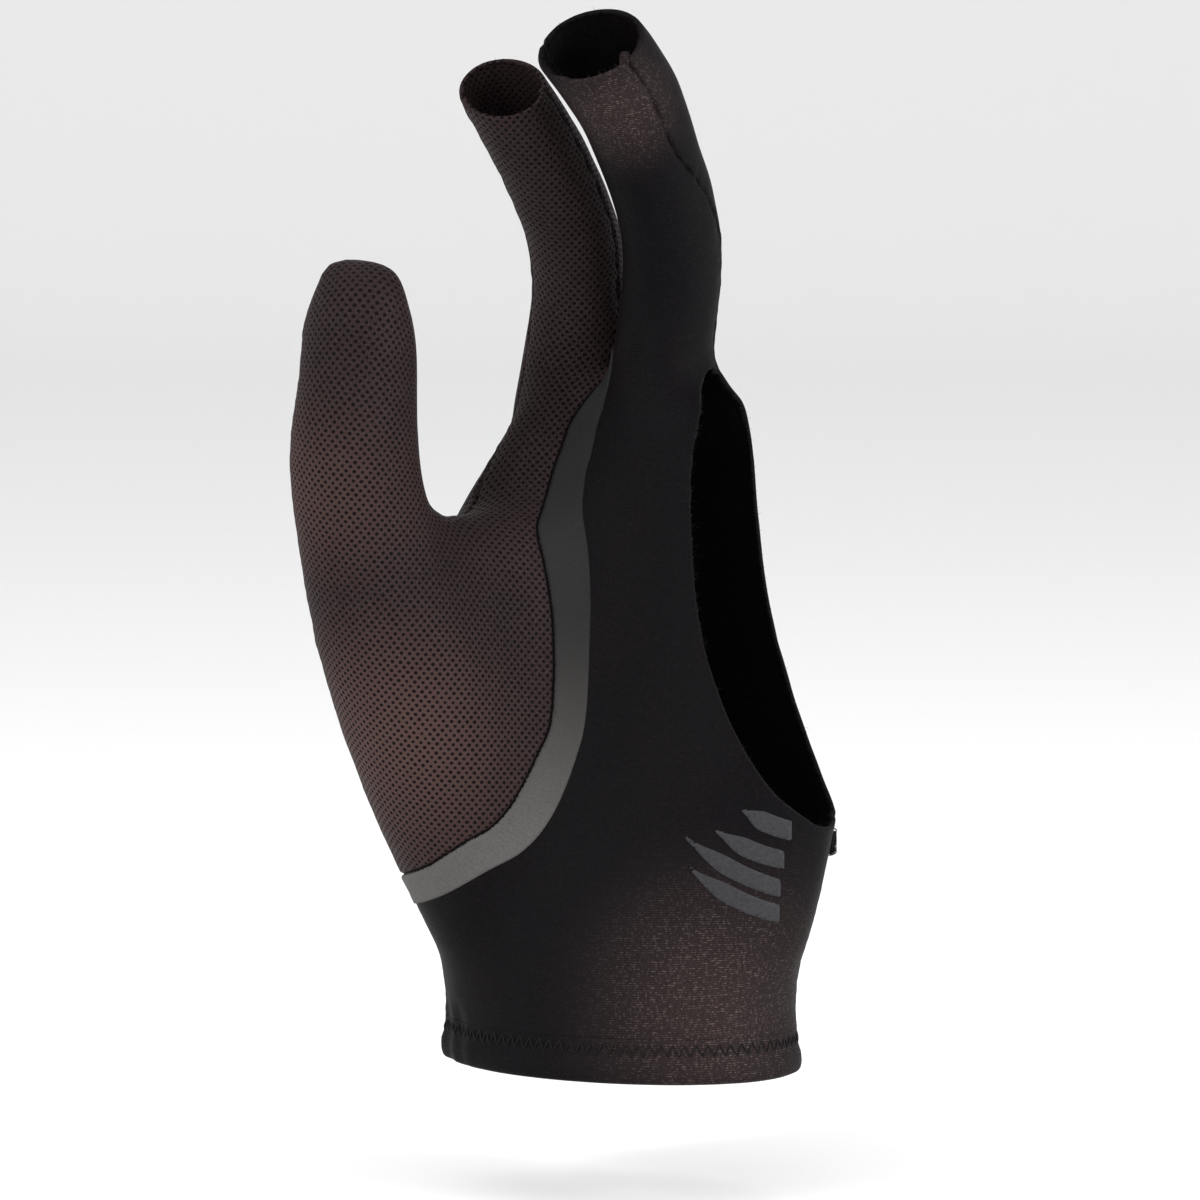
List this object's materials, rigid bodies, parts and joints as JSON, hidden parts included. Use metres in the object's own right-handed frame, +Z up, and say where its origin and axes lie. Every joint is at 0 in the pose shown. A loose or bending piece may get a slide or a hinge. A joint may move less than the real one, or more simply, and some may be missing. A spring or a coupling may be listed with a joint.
{
  "type": "billiard glove",
  "caption": "Billiard glove for the left hand in black knit and mesh cloth, with a closed thumb, open finger ends and an open little-finger side, in its worn shape.",
  "frame": {"origin": "middle of the wrist opening, in the plane of the hem's lower edge", "axes": "+Z up to the fingers, -Y to the palm side, +X to the open little-finger side"},
  "size_m": [0.0856, 0.0775, 0.1896],
  "materials": {
    "mesh_cloth": "open air mesh knit, matte",
    "knit_cloth": "fine stretch knit with a satin sheen",
    "grey_tape": "smooth bonded tape, matte"
  },
  "bodies": {
    "root": {"palm_mesh_panel": "mesh_cloth", "back_mesh_panel": "mesh_cloth", "palm_knit_panel": "knit_cloth", "back_knit_panel": "knit_cloth", "wrist_hem": "knit_cloth", "seam_band": "grey_tape", "side_seam_tab": "knit_cloth"}
  },
  "joints": []
}
